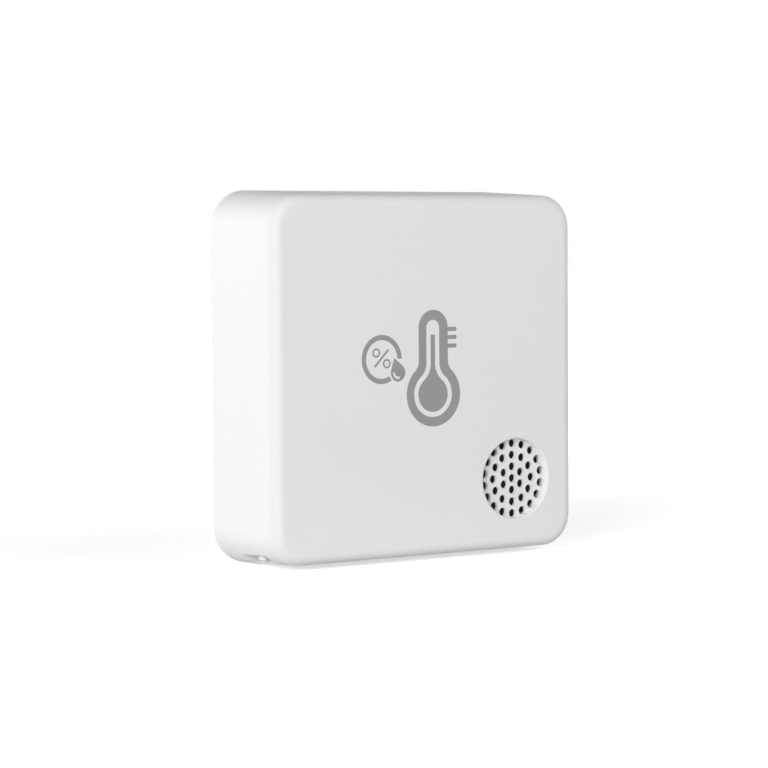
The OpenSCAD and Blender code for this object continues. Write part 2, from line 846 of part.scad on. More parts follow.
module negative_contact() {
    foot = tray_bottom - near_foot;
    color("silver") sheet(-bay_half, -contact_in) {
        plate_outline(upper_z);
        translate([board_rear, foot]) square([leg_w, upper_z - foot]);
    }
}

module positive_contact() {
    foot = tray_bottom - far_foot;
    lane = board_rear + leg_reach - leg_w;
    color("silver") {
        sheet(-bay_half, -contact_in) {
            translate([lane, lower_z - plate_h / 2])
                square([contact_low + contact_w - lane, plate_h]);
            translate([lane, foot]) square([leg_w, lower_z - foot]);
            translate([board_rear, foot]) square([leg_reach, leg_w]);
        }
        mirror([1, 0, 0]) bump(lower_z);
    }
}

module bridge_contact() {
    color("silver") {
        sheet(contact_in, bay_half) {
            plate_outline(upper_z);
            plate_outline(lower_z);
            translate([contact_low, lower_z]) square([contact_w, upper_z - lower_z]);
        }
        bump(upper_z);
    }
}

// A tapered coil from a contact plate at the -X end to a cell
function coil_r(k) = (spring_base_d + (spring_tip_d - spring_base_d) * k / coil_rings) / 2;
function coil_x(k) =
    spring_wire / 2 + coil_clear + (spring_l - spring_wire - 2 * coil_clear) * k / coil_rings;
function coil_point(k, out = 0, up = 0) =
    let (turn = 360 * k / coil_steps, r = coil_r(k) + out)
    [coil_x(k) + up, r * cos(turn), r * sin(turn)];

// The least gap between one turn and the next, measured on the coil's own points
coil_self_gap = min([
    for (k = [0:coil_rings - coil_steps]) norm(coil_point(k + coil_steps) - coil_point(k)) - spring_wire
]);
echo(least_gap_between_spring_turns = coil_self_gap);

module coil() {
    points = [
        for (k = [0:coil_rings], s = [0:coil_sides - 1])
            let (turn = 360 * s / coil_sides)
            coil_point(k, spring_wire / 2 * cos(turn), spring_wire / 2 * sin(turn))
    ];
    sides = [
        for (k = [0:coil_rings - 1], s = [0:coil_sides - 1])
            let (a = k * coil_sides + s, b = k * coil_sides + (s + 1) % coil_sides)
            each [[a, b, b + coil_sides], [a, b + coil_sides, a + coil_sides]]
    ];
    last = coil_rings * coil_sides;
    ends = [
        for (s = [1:coil_sides - 2]) each [[0, s + 1, s], [last, last + s, last + s + 1]]
    ];
    translate([-contact_in, cell_y, 0]) polyhedron(points, concat(sides, ends));
}

module negative_spring() {
    color("silver") translate([0, 0, upper_z]) coil();
}

module bridge_spring() {
    color("silver") translate([0, 0, lower_z]) mirror([1, 0, 0]) coil();
}

// A pan-head screw with a cross recess, driven toward the front, with its head's seat at a depth
module screw(seat_y, length) {
    slot = [screw_head_d * 0.6, screw_d / 4];
    difference() {
        union() {
            slab(seat_y, seat_y + screw_head_h) circle(d = screw_head_d);
            slab(seat_y - length, seat_y + root) circle(d = screw_d);
        }
        slab(seat_y + screw_head_h / 2, seat_y + screw_head_h + past) {
            square(slot, center = true);
            square([slot[1], slot[0]], center = true);
        }
    }
}

module tray_screws() {
    color("silver") for (side = [-1, 1]) translate([side * ear_x, 0, tray_screw_z])
        screw(board_rear + ear_t, ear_t + board_t + screw_bite);
}

module board_screws() {
    color("silver") for (x = board_screw_x) translate([x, 0, board_screw_z])
        screw(board_rear, board_t + screw_bite);
}

front_housing();
rear_cover();
pairing_button();
dust_mesh();
mesh_adhesive_ring();
sensor_gasket();
main_board();
humidity_sensor();
radio_board();
radio_shield();
radio_antenna();
switch_case();
switch_plunger();
status_led();
reservoir_capacitor();
voltage_regulator();
chip_capacitors();
chip_resistors();
battery_tray();
upper_cell();
lower_cell();
negative_contact();
positive_contact();
bridge_contact();
negative_spring();
bridge_spring();
tray_screws();
board_screws();
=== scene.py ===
import math

import bmesh
import bpy
from bpy.props import FloatProperty, FloatVectorProperty, IntProperty, PointerProperty
from bpy.types import Operator, Panel, PropertyGroup
from mathutils import Matrix, Vector


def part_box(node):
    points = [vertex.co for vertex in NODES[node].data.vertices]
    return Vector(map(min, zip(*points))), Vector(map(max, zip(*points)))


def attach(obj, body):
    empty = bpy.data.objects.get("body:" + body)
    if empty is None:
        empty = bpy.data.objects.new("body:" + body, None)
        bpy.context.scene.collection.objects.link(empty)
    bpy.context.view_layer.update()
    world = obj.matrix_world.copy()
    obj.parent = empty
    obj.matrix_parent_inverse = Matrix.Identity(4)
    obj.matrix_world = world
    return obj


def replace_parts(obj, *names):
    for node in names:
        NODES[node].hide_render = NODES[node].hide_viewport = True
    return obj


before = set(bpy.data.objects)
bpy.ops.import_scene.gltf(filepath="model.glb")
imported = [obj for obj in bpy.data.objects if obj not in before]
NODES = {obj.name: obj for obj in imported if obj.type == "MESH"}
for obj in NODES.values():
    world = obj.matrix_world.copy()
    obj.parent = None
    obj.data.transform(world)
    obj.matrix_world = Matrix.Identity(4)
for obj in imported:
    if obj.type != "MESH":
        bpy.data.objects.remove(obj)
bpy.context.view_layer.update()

bl_info = {
    "name": "Temperature humidity sensor looks",
    "version": (1, 0, 0),
    "blender": (4, 5, 0),
    "location": "3D View > Sidebar > Sensor",
    "description": "Finishes, prints and small parts of a wall sensor, built around its packed frame",
    "category": "Object",
}

MM = 0.001

# Places that the pieces share, read from the frame
HOUSING_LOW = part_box("front_housing")[0]
BOARD_LOW, BOARD_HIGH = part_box("main_board")
RADIO_LOW, RADIO_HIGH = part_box("radio_board")
SHIELD_LOW, SHIELD_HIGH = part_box("radio_shield")
MESH_LOW, MESH_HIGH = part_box("dust_mesh")
FRONT_Y = HOUSING_LOW.y
BOARD_REAR = BOARD_HIGH.y
CHAMBER = (MESH_LOW + MESH_HIGH) / 2

# Colours that several finishes share
TIN = (0.62, 0.63, 0.62)
BLACK_PACKAGE = (0.02, 0.02, 0.022)

# Depths of the textures
GRAIN_DEPTH = 0.02 * MM
LINE_DEPTH = 0.01 * MM
WEAVE_DEPTH = 0.05 * MM
TRACK_DEPTH = 0.03 * MM

# A place that is neither turned nor sized
NO_TURN = (0, 0, 0)
FULL_SIZE = (1, 1, 1)

CHIP_NODES = ("chip_capacitors", "chip_resistors")


# Property helpers

def length_prop(name, description, millimetres):
    """A length, written in millimetres."""
    return FloatProperty(name=name, description=description, default=millimetres * MM, unit="LENGTH")


def angle_prop(name, description, degrees):
    """An angle, written in degrees."""
    return FloatProperty(
        name=name, description=description, default=math.radians(degrees), subtype="ANGLE")


def power_prop(name, description, watts):
    """A lamp's power."""
    return FloatProperty(name=name, description=description, default=watts, unit="POWER")


def share_prop(name, description, default):
    """A share from 0 to 1."""
    return FloatProperty(
        name=name, description=description, default=default, min=0, max=1, subtype="FACTOR")


def colour_prop(name, description, default):
    """A colour in linear light."""
    return FloatVectorProperty(
        name=name, description=description, default=default, min=0, max=1, subtype="COLOR")


class ShellLook(PropertyGroup):
    """Colours and grain of the moulded pieces."""

    white: colour_prop("White", "Colour of the housing and the cover", (0.80, 0.805, 0.805))
    button_white: colour_prop("Button white", "Colour of the button", (0.85, 0.85, 0.84))
    roughness: share_prop("Roughness", "Satin of the moulded white surface", 0.6)
    shine: share_prop("Shine", "Specular level of the moulded white surface", 0.2)
    grain: FloatProperty(
        name="Grain", description="Grains of the moulded texture per metre", default=5200)


class PrintSizes(PropertyGroup):
    """Sizes of the pictograms printed on the front."""

    ink: colour_prop("Ink", "Colour of the printed pictograms", (0.28, 0.28, 0.28))
    thickness: length_prop("Thickness", "Thickness of the ink", 0.02)
    stem_x: length_prop("Thermometer", "Place of the thermometer right of the middle", 0.92)
    bulb_z: length_prop("Bulb", "Height of the thermometer's bulb", -2.97)
    ring_x: length_prop("Humidity ring", "Place of the humidity ring right of the middle", -9.03)
    ring_z: length_prop("Ring height", "Height of the humidity ring", 2.9)
    ring_r: length_prop("Ring radius", "Outer radius of the humidity ring", 3.9)
    ring_w: length_prop("Ring stroke", "Stroke of the humidity ring", 0.82)
    narrow: share_prop("Narrowing", "Width of the humidity pictogram against its height", 0.97)


class InsideLook(PropertyGroup):
    """Colours and small sizes of the parts inside."""

    mask_green: colour_prop("Solder mask", "Colour of the main board", (0.02, 0.17, 0.08))
    sleeve: colour_prop("Cell sleeve", "Colour of the cells' sleeves", (0.09, 0.11, 0.13))
    band: colour_prop("Cell band", "Colour of the band at a cell's positive end", (0.5, 0.52, 0.53))
    band_l: length_prop("Band length", "Length of the band at a cell's positive end", 8)
    spring_wire: length_prop("Spring wire", "Wire diameter of the contact springs", 0.6)
    spring_turns: IntProperty(
        name="Spring turns", description="Turns of a contact spring", default=4, min=2, max=8)
    via_r: length_prop("Via", "Radius of a plated hole in the board", 0.2)
    terminal_l: length_prop("Terminal", "Length of a chip part's tinned end", 0.32)


class StageSetup(PropertyGroup):
    """Camera, lamps and floor."""

    azimuth: angle_prop("Azimuth", "Camera's turn about the vertical", -33.459)
    elevation: angle_prop("Elevation", "Camera's angle above level", 3)
    roll: angle_prop("Roll", "Camera's turn about its view", -0.3993)
    distance: length_prop("Distance", "Camera's distance from its target", 422.8)
    target: FloatVectorProperty(
        name="Target", description="Point that the camera looks at",
        default=(-2.875 * MM, -9.3 * MM, -1.554 * MM), subtype="TRANSLATION")
    lens: FloatProperty(name="Lens", description="Focal length", default=121.63, unit="CAMERA")
    key: power_prop("Key lamp", "Power of the lamp at the front left", 19.0)
    high: power_prop("High lamp", "Power of the raised lamp at the front right", 5.4)
    low: power_prop("Low lamp", "Power of the low lamp at the front right", 1.3)
    right: power_prop("Right lamp", "Power of the lamp at the right", 7.0)
    back: power_prop("Back lamp", "Power of the lamp behind, at the left", 13.8)
    lamp_distance: length_prop("Lamp distance", "Distance of the lamps from the origin", 1400)
    lamp_size: length_prop("Lamp size", "Diameter of a lamp", 900)
    ambient: share_prop("Ambient", "Level of the room's light", 0.02)
    floor_half: length_prop("Floor", "Half of the floor's width", 4000)
    floor_tone: share_prop("Floor tone", "Tone of the matt floor", 0.8)
    floor_fade: length_prop("Floor fade", "Distance at which the floor's added white is full", 300)
    floor_near: share_prop("Floor near", "White added under the object, where the camera sees it", 0.56)
    floor_far: share_prop("Floor far", "White added further off, where the camera sees it", 0.98)


# Shader helpers

def new_material(name, colour, roughness, metallic=0.0):
    """A material with a Principled shader and a node for Object coordinates."""
    material = bpy.data.materials.new(name)
    material.use_nodes = True
    material.diffuse_color = (*colour, 1)
    set_input(material, "Base Color", (*colour, 1))
    set_input(material, "Roughness", roughness)
    set_input(material, "Metallic", metallic)
    material.node_tree.nodes.new("ShaderNodeTexCoord").name = "Place"
    return material


def shader_input(material, name):
    """One input of a material's Principled shader."""
    return material.node_tree.nodes["Principled BSDF"].inputs[name]


def set_input(material, name, value):
    """Links or sets one input of a material's shader."""
    feed(material.node_tree, value, shader_input(material, name))


def place_of(material):
    """The Object coordinates that a material's textures lie on."""
    return material.node_tree.nodes["Place"].outputs["Object"]


def feed(tree, value, socket):
    """Links a socket to another one, or sets it to a plain value."""
    if isinstance(value, bpy.types.NodeSocket):
        tree.links.new(value, socket)
    else:
        socket.default_value = value


def add_node(tree, kind, inputs):
    """A node with its inputs linked or set."""
    node = tree.nodes.new(kind)
    for name, value in inputs.items():
        feed(tree, value, node.inputs[name])
    return node


def math_node(tree, operation, first, second=None):
    """A Math node fed by sockets or plain numbers."""
    node = tree.nodes.new("ShaderNodeMath")
    node.operation = operation
    feed(tree, first, node.inputs[0])
    if second is not None:
        feed(tree, second, node.inputs[1])
    return node.outputs[0]


def noise(tree, vector, scale, detail):
    """A noise texture's value on a vector."""
    inputs = {"Vector": vector, "Scale": scale, "Detail": detail}
    return add_node(tree, "ShaderNodeTexNoise", inputs).outputs["Fac"]


def mix_colour(tree, mask, first, second):
    """A colour between two, by a mask."""
    node = tree.nodes.new("ShaderNodeMix")
    node.data_type = "RGBA"
    feed(tree, mask, node.inputs["Factor"])
    sockets = [s for s in node.inputs if s.type == "RGBA"]
    for socket, value in zip(sockets, (first, second)):
        feed(tree, value if isinstance(value, bpy.types.NodeSocket) else (*value, 1), socket)
    return [s for s in node.outputs if s.type == "RGBA"][0]


def spread(tree, mask, low, high):
    """A mask from 0 to 1 as a value between two limits."""
    inputs = {"Value": mask, "To Min": low, "To Max": high}
    return add_node(tree, "ShaderNodeMapRange", inputs).outputs["Result"]


def split_axes(tree, vector):
    """The X, Y and Z of a vector."""
    return add_node(tree, "ShaderNodeSeparateXYZ", {"Vector": vector}).outputs


def seen_rays(tree):
    """1 for what the camera sees straight, mirrored or through a clear piece, else 0."""
    rays = tree.nodes.new("ShaderNodeLightPath").outputs
    seen = math_node(tree, "MAXIMUM", rays["Is Camera Ray"], rays["Is Glossy Ray"])
    return math_node(tree, "MAXIMUM", seen, rays["Is Transmission Ray"])


# Shared textures, each a node group that is built once

def texture_group(name, values, results):
    """A node group that takes a vector and plain values, and gives plain values."""
    group = bpy.data.node_groups.new(name, "ShaderNodeTree")
    group.interface.new_socket("Vector", in_out="INPUT", socket_type="NodeSocketVector")
    for label, default in values.items():
        socket = group.interface.new_socket(label, in_out="INPUT", socket_type="NodeSocketFloat")
        socket.default_value = default
    for label in results:
        group.interface.new_socket(label, in_out="OUTPUT", socket_type="NodeSocketFloat")
    given = group.nodes.new("NodeGroupInput").outputs
    result = group.nodes.new("NodeGroupOutput").inputs
    return group, given, result


def moulded_grain(name):
    """Fine moulded grain, with slow changes of tone across the surface."""
    group, given, result = texture_group(name, {"Grains": 5000.0, "Clouds": 60.0}, ("Height", "Tone"))
    group.links.new(noise(group, given["Vector"], given["Grains"], 2), result["Height"])
    group.links.new(noise(group, given["Vector"], given["Clouds"], 3), result["Tone"])
    return group


def drawn_lines(name):
    """Drawn or rolled metal, with fine lines along X."""
    group, given, result = texture_group(name, {"Lines": 9000.0}, ("Height", "Tone"))
    stretch = add_node(group, "ShaderNodeMapping", {"Vector": given["Vector"], "Scale": (0.03, 1, 1)})
    group.links.new(noise(group, stretch.outputs["Vector"], given["Lines"], 3), result["Height"])
    group.links.new(noise(group, given["Vector"], 700, 2), result["Tone"])
    return group


def plain_weave(name):
    """Plain weave of threads along X and Z."""
    group, given, result = texture_group(name, {"Threads": 4000.0}, ("Height", "Thread"))
    axes = split_axes(group, given["Vector"])
    waves = []
    for axis in ("X", "Z"):
        turn = math_node(group, "MULTIPLY", axes[axis], given["Threads"])
        angle = math_node(group, "MULTIPLY", turn, math.pi)
        waves.append((math_node(group, "SINE", angle), math_node(group, "COSINE", angle)))
    (sine_x, cosine_x), (sine_z, cosine_z) = waves
    across = math_node(group, "ABSOLUTE", math_node(group, "MULTIPLY", sine_x, cosine_z))
    along = math_node(group, "ABSOLUTE", math_node(group, "MULTIPLY", cosine_x, sine_z))
    height = math_node(group, "MAXIMUM", across, along)
    group.links.new(height, result["Height"])
    group.links.new(math_node(group, "GREATER_THAN", height, 0.45), result["Thread"])
    return group


def board_tracks(name):
    """Copper tracks under a solder mask, in patches that run one way or the other."""
    group, given, result = texture_group(name, {"Tracks": 1100.0}, ("Track",))
    axes = split_axes(group, given["Vector"])
    lanes = []
    for axis in ("X", "Z"):
        lane = math_node(group, "FRACT", math_node(group, "MULTIPLY", axes[axis], given["Tracks"]))
        edge = math_node(group, "ABSOLUTE", math_node(group, "SUBTRACT", lane, 0.5))
        lanes.append(math_node(group, "LESS_THAN", edge, 0.2))
    patch = noise(group, given["Vector"], 170, 0)
    upright = math_node(group, "MULTIPLY", lanes[0], math_node(group, "GREATER_THAN", patch, 0.56))
    level = math_node(group, "MULTIPLY", lanes[1], math_node(group, "LESS_THAN", patch, 0.44))
    group.links.new(math_node(group, "MAXIMUM", upright, level), result["Track"])
    return group


def place_texture(material, builder, values):
    """Puts a shared texture into a material, with its own values, and gives its outputs."""
    tree = material.node_tree
    label = builder.__name__
    node = tree.nodes.new("ShaderNodeGroup")
    node.node_tree = bpy.data.node_groups.get(label) or builder(label)
    for name, value in {"Vector": place_of(material), **values}.items():
        feed(tree, value, node.inputs[name])
    return node.outputs


def add_bump(material, height, strength, depth):
    """Feeds a height to the shader's normal."""
    inputs = {"Strength": strength, "Distance": depth, "Height": height}
    set_input(material, "Normal", add_node(material.node_tree, "ShaderNodeBump", inputs).outputs["Normal"])


def apply_texture(material, texture, colour, tones, gloss, bump, depth):
    """Lets a texture vary a material's colour, roughness and surface."""
    tree = material.node_tree
    darker, lighter = [tuple(min(1, c * tone) for c in colour) for tone in tones]
    set_input(material, "Base Color", mix_colour(tree, texture["Tone"], darker, lighter))
    set_input(material, "Roughness", spread(tree, texture["Tone"], *gloss))
    add_bump(material, texture["Height"], bump, depth)


def moulded(name, colour, roughness, grains=5200.0, bump=0.15, change=0.035):
    """Moulded plastic, rubber or ceramic: fine grain and slow changes of tone."""
    material = new_material(name, colour, roughness)
    grain = place_texture(material, moulded_grain, {"Grains": grains, "Clouds": 90.0})
    apply_texture(material, grain, colour, (1 - change, 1 + change),
                  (roughness - 0.05, roughness + 0.05), bump, GRAIN_DEPTH)
    return material


def drawn_metal(name, colour, roughness):
    """Plated or drawn metal with fine lines."""
    material = new_material(name, colour, roughness, 1.0)
    lines = place_texture(material, drawn_lines, {"Lines": 9000.0})
    apply_texture(material, lines, colour, (0.9, 1.06),
                  (roughness - 0.06, roughness + 0.08), 0.12, LINE_DEPTH)
    return material


def paint_over(material, mask, colour, metallic):
    """Covers a part of a material with a plain colour, and sets where it is metal."""
    under = shader_input(material, "Base Color").links[0].from_socket
    set_input(material, "Base Color", mix_colour(material.node_tree, mask, under, colour))
    set_input(material, "Metallic", metallic)


def finish(material, *names):
    """Gives CAD nodes their finish."""
    for name in names:
        thing = NODES[name]
        if not thing.material_slots:
            thing.data.materials.append(material)
        for slot in thing.material_slots:
            slot.material = material


# Mesh helpers

def add_object(name, mesh, body):
    """Links a finished mesh as a piece that rides on a body."""
    if not mesh.polygons:
        raise RuntimeError(f"{name} came out empty")
    thing = bpy.data.objects.new(name, mesh)
    bpy.context.scene.collection.objects.link(thing)
    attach(thing, body)
    return thing


def take_mesh(name, holder):
    """Keeps the plain mesh that a helper object makes, and removes the object."""
    bpy.context.scene.collection.objects.link(holder)
    bpy.context.view_layer.update()
    ready = holder.evaluated_get(bpy.context.evaluated_depsgraph_get())
    mesh = bpy.data.meshes.new_from_object(ready)
    bpy.data.objects.remove(holder)
    mesh.name = name
    return mesh


def close_mesh(mesh):
    """Merges doubled points and turns the faces outward."""
    work = bmesh.new()
    work.from_mesh(mesh)
    bmesh.ops.remove_doubles(work, verts=work.verts, dist=1e-7)
    bmesh.ops.recalc_face_normals(work, faces=work.faces)
    work.to_mesh(mesh)
    work.free()


def on_circle(x, z, r, degrees):
    """A point on a circle."""
    turn = math.radians(degrees)
    return x + r * math.cos(turn), z + r * math.sin(turn)


def arc(x, z, r, start, end, steps=48):
    """Points on an arc, with its angles in degrees."""
    return [on_circle(x, z, r, start + (end - start) * k / steps) for k in range(steps + 1)]


def ring_pair(x, z, r, stroke, steps=40):
    """The two edges of a closed ring."""
    last = 360 - 360 / steps
    return [arc(x, z, r, 0, last, steps - 1), arc(x, z, r - stroke, 0, last, steps - 1)]


def bar(x0, z0, x1, z1, stroke):
    """A straight stroke with round ends."""
    turn = math.degrees(math.atan2(z1 - z0, x1 - x0))
    return (arc(x1, z1, stroke / 2, turn - 90, turn + 90, 16)
            + arc(x0, z0, stroke / 2, turn + 90, turn + 270, 16))


def rectangle(x0, z0, x1, z1):
    """The corners of a rectangle."""
    return [(x0, z0), (x1, z0), (x1, z1), (x0, z1)]


def flat_print(name, outlines, y, thickness, body, material):
    """A thin printed layer, drawn in X and Z, centred on a depth."""
    curve = bpy.data.curves.new(name + "_drawing", "CURVE")
    curve.dimensions = "2D"
    curve.fill_mode = "BOTH"
    curve.extrude = thickness / 2
    for points in outlines:
        spline = curve.splines.new("POLY")
        spline.points.add(len(points) - 1)
        for point, (x, z) in zip(spline.points, points):
            point.co = (x, z, 0, 1)
        spline.use_cyclic_u = True
    mesh = take_mesh(name, bpy.data.objects.new(name + "_drawing", curve))
    mesh.transform(Matrix.Translation((0, y, 0)) @ Matrix.Rotation(math.pi / 2, 4, "X"))
    close_mesh(mesh)
    mesh.materials.clear()
    mesh.materials.append(material)
    add_object(name, mesh, body)


# Geometry Nodes helpers

def grow_tree(name, build_shape, values, material, smooth):
    """A tree that puts one shape on every point, turned and sized by the points' attributes."""
    tree = bpy.data.node_groups.new(name, "GeometryNodeTree")
    tree.interface.new_socket("Geometry", in_out="INPUT", socket_type="NodeSocketGeometry")
    for label, value in values.items():
        kind = "NodeSocketVector" if isinstance(value, tuple) else "NodeSocketFloat"
        tree.interface.new_socket(label, in_out="INPUT", socket_type=kind)
    tree.interface.new_socket("Geometry", in_out="OUTPUT", socket_type="NodeSocketGeometry")
    given = tree.nodes.new("NodeGroupInput").outputs
    end = tree.nodes.new("NodeGroupOutput")
    copies = add_node(tree, "GeometryNodeInstanceOnPoints", {
        "Points": given["Geometry"], "Instance": build_shape(tree, given)})
    for attribute, socket in (("turn", "Rotation"), ("size", "Scale")):
        read = tree.nodes.new("GeometryNodeInputNamedAttribute")
        read.data_type = "FLOAT_VECTOR"
        read.inputs["Name"].default_value = attribute
        tree.links.new(read.outputs["Attribute"], copies.inputs[socket])
    whole = add_node(tree, "GeometryNodeRealizeInstances", {"Geometry": copies.outputs["Instances"]})
    shade = add_node(tree, "GeometryNodeSetShadeSmooth", {
        "Geometry": whole.outputs["Geometry"], "Shade Smooth": smooth})
    paint = add_node(tree, "GeometryNodeSetMaterial", {
        "Geometry": shade.outputs["Geometry"], "Material": material})
    tree.links.new(paint.outputs["Geometry"], end.inputs["Geometry"])
    return tree


def grow(name, places, build_shape, values, material, smooth, body):
    """Puts one shape on every place, a point, a turn and a size, and keeps the plain mesh."""
    seeds = bpy.data.meshes.new(name + "_places")
    seeds.from_pydata([point for point, turn, size in places], [], [])
    columns = (("turn", 1), ("size", 2))
    for label, column in columns:
        layer = seeds.attributes.new(label, "FLOAT_VECTOR", "POINT")
        layer.data.foreach_set("vector", [v for row in places for v in row[column]])
    holder = bpy.data.objects.new(name + "_places", seeds)
    modifier = holder.modifiers.new("Grow", "NODES")
    modifier.node_group = grow_tree(name, build_shape, values, material, smooth)
    for item in modifier.node_group.interface.items_tree:
        if item.in_out == "INPUT" and item.name in values:
            modifier[item.identifier] = values[item.name]
    mesh = take_mesh(name, holder)
    for label, column in columns:
        if label in mesh.attributes:
            mesh.attributes.remove(mesh.attributes[label])
    return add_object(name, mesh, body)


def on_board(x, z, size=FULL_SIZE):
    """A place on the board's rear face."""
    return (x, BOARD_REAR, z), NO_TURN, size


def circle(tree, radius, sides):
    """A round curve."""
    inputs = {"Resolution": sides, "Radius": radius}
    return add_node(tree, "GeometryNodeCurvePrimitiveCircle", inputs).outputs["Curve"]


def sweep_round(tree, path, radius, sides, caps):
    """A round section, swept along a path."""
    section = circle(tree, radius, sides)
    sweep = add_node(tree, "GeometryNodeCurveToMesh", {
        "Curve": path, "Profile Curve": section, "Fill Caps": caps})
    return sweep.outputs["Mesh"]


def lay_flat(tree, mesh):
    """Turns a shape from X and Y into X and Z."""
    inputs = {"Geometry": mesh, "Rotation": (math.pi / 2, 0, 0)}
    return add_node(tree, "GeometryNodeTransform", inputs).outputs["Geometry"]


def round_joint(tree, given):
    """A solder joint: a ball, flattened by its size and half sunk in the board."""
    inputs = {"Segments": 12, "Rings": 8, "Radius": given["Radius"]}
    return add_node(tree, "GeometryNodeMeshUVSphere", inputs).outputs["Mesh"]


def tinned_end(tree, given):
    """A tinned end that wraps a chip part."""
    return add_node(tree, "GeometryNodeMeshCube", {"Size": given["Size"]}).outputs["Mesh"]


def plated_ring(tree, given):
    """A plated hole's ring, lying in X and Z."""
    path = circle(tree, given["Radius"], 14)
    return lay_flat(tree, sweep_round(tree, path, given["Lip"], 5, False))


def test_pad(tree, given):
    """A round gold pad, lying in X and Z."""
    inputs = {"Vertices": 20, "Radius": given["Radius"], "Depth": given["Depth"]}
    return lay_flat(tree, add_node(tree, "GeometryNodeMeshCylinder", inputs).outputs["Mesh"])


def tapered_coil(tree, given):
    """A tapered spring along Z, wound from round wire."""
    path = add_node(tree, "GeometryNodeCurveSpiral", {
        "Resolution": 28, "Rotations": given["Turns"], "Height": given["Length"],
        "Start Radius": given["Base"], "End Radius": given["Tip"]})
    return sweep_round(tree, path.outputs["Curve"], given["Wire"], 10, True)


class SENSOR_OT_stage(Operator):
    """Places the camera, the lamps, the floor and the white surroundings"""

    bl_idname = "sensor.stage"
    bl_label = "Stage"

    def execute(self, context):
        setup = context.scene.sensor_stage
        context.scene.view_settings.view_transform = "Standard"
        self.place_camera(context, setup)
        self.place_lamps(context, setup)
        self.place_floor(context, setup)
        self.light_room(context, setup)
        return {"FINISHED"}

    def place_camera(self, context, setup):
        """The photo's view of the object."""
        az, el, roll = setup.azimuth, setup.elevation, setup.roll
        back = Vector((math.sin(az) * math.cos(el), -math.cos(az) * math.cos(el), math.sin(el)))
        level = Vector((math.cos(az), math.sin(az), 0))
        rise = back.cross(level)
        right = math.cos(roll) * level + math.sin(roll) * rise
        up = math.cos(roll) * rise - math.sin(roll) * level
        view = bpy.data.cameras.new("photo_camera")
        view.lens = setup.lens
        view.sensor_width = 36
        view.sensor_fit = "HORIZONTAL"
        view.clip_start = 0.01
        view.clip_end = 50
        camera = bpy.data.objects.new("photo_camera", view)
        turn = Matrix((right, up, back)).transposed().to_4x4()
        camera.matrix_world = Matrix.Translation(Vector(setup.target) + back * setup.distance) @ turn
        context.scene.collection.objects.link(camera)
        context.scene.camera = camera

    def place_lamps(self, context, setup):
        """Broad round lamps that face the origin."""
        for name, power, direction in (
                ("left_key", setup.key, (-0.79, -0.53, 0.2)),
                ("high_fill", setup.high, (0.5, -0.71, 0.5)),
                ("low_fill", setup.low, (0.55, -0.83, 0.08)),
                ("right_fill", setup.right, (0.95, 0.25, 0.12)),
                ("back_fill", setup.back, (-0.47, 0.88, 0.08))):
            lamp = bpy.data.lights.new(name, "AREA")
            lamp.shape = "DISK"
            lamp.size = setup.lamp_size
            lamp.energy = power
            holder = bpy.data.objects.new(name, lamp)
            away = Vector(direction).normalized()
            turn = away.to_track_quat("Z", "Y").to_matrix().to_4x4()
            holder.matrix_world = Matrix.Translation(away * setup.lamp_distance) @ turn
            context.scene.collection.objects.link(holder)

    def place_floor(self, context, setup):
        """A plain pale floor under the object."""
        half = setup.floor_half
        corners = [(x, y, HOUSING_LOW.z) for x, y in rectangle(-half, -half, half, half)]
        mesh = bpy.data.meshes.new("floor")
        mesh.from_pydata(corners, [], [(0, 1, 2, 3)])
        mesh.materials.append(self.floor_material(setup))
        floor = bpy.data.objects.new("floor", mesh)
        context.scene.collection.objects.link(floor)

    def floor_material(self, setup):
        """Matt white that takes the shadow, with white added where the camera sees it."""
        material = bpy.data.materials.new("white_sweep")
        material.use_nodes = True
        tree = material.node_tree
        tree.nodes.clear()
        tone = (*[setup.floor_tone] * 3, 1)
        matt = add_node(tree, "ShaderNodeBsdfDiffuse", {"Color": tone})
        place = tree.nodes.new("ShaderNodeTexCoord")
        distance = tree.nodes.new("ShaderNodeVectorMath")
        distance.operation = "LENGTH"
        tree.links.new(place.outputs["Object"], distance.inputs[0])
        share = math_node(tree, "DIVIDE", distance.outputs["Value"], setup.floor_fade)
        lift = spread(tree, share, setup.floor_near, setup.floor_far)
        strength = math_node(tree, "MULTIPLY", seen_rays(tree), lift)
        glow = add_node(tree, "ShaderNodeEmission", {"Strength": strength})
        both = add_node(tree, "ShaderNodeAddShader", {0: matt.outputs[0], 1: glow.outputs[0]})
        add_node(tree, "ShaderNodeOutputMaterial", {"Surface": both.outputs[0]})
        return material

    def light_room(self, context, setup):
        """Surroundings that the camera sees as white, and that light the object faintly."""
        world = bpy.data.worlds.new("white_room")
        context.scene.world = world
        world.use_nodes = True
        tree = world.node_tree
        background = tree.nodes["Background"]
        background.inputs["Color"].default_value = (1, 1, 1, 1)
        tree.links.new(spread(tree, seen_rays(tree), setup.ambient, 1.0), background.inputs["Strength"])


class SENSOR_OT_shell(Operator):
    """Finishes the moulded housing, cover and button"""

    bl_idname = "sensor.shell"
    bl_label = "Housing, cover and button"

    def execute(self, context):
        look = context.scene.sensor_shell
        white = moulded("satin_white_shell", look.white, look.roughness, look.grain, 0.12, 0.012)
        set_input(white, "Specular IOR Level", look.shine)
        finish(white, "front_housing", "rear_cover")
        button = moulded("smooth_white_button", look.button_white, 0.3, look.grain, 0.04, 0.01)
        finish(button, "pairing_button", "switch_plunger")
        return {"FINISHED"}


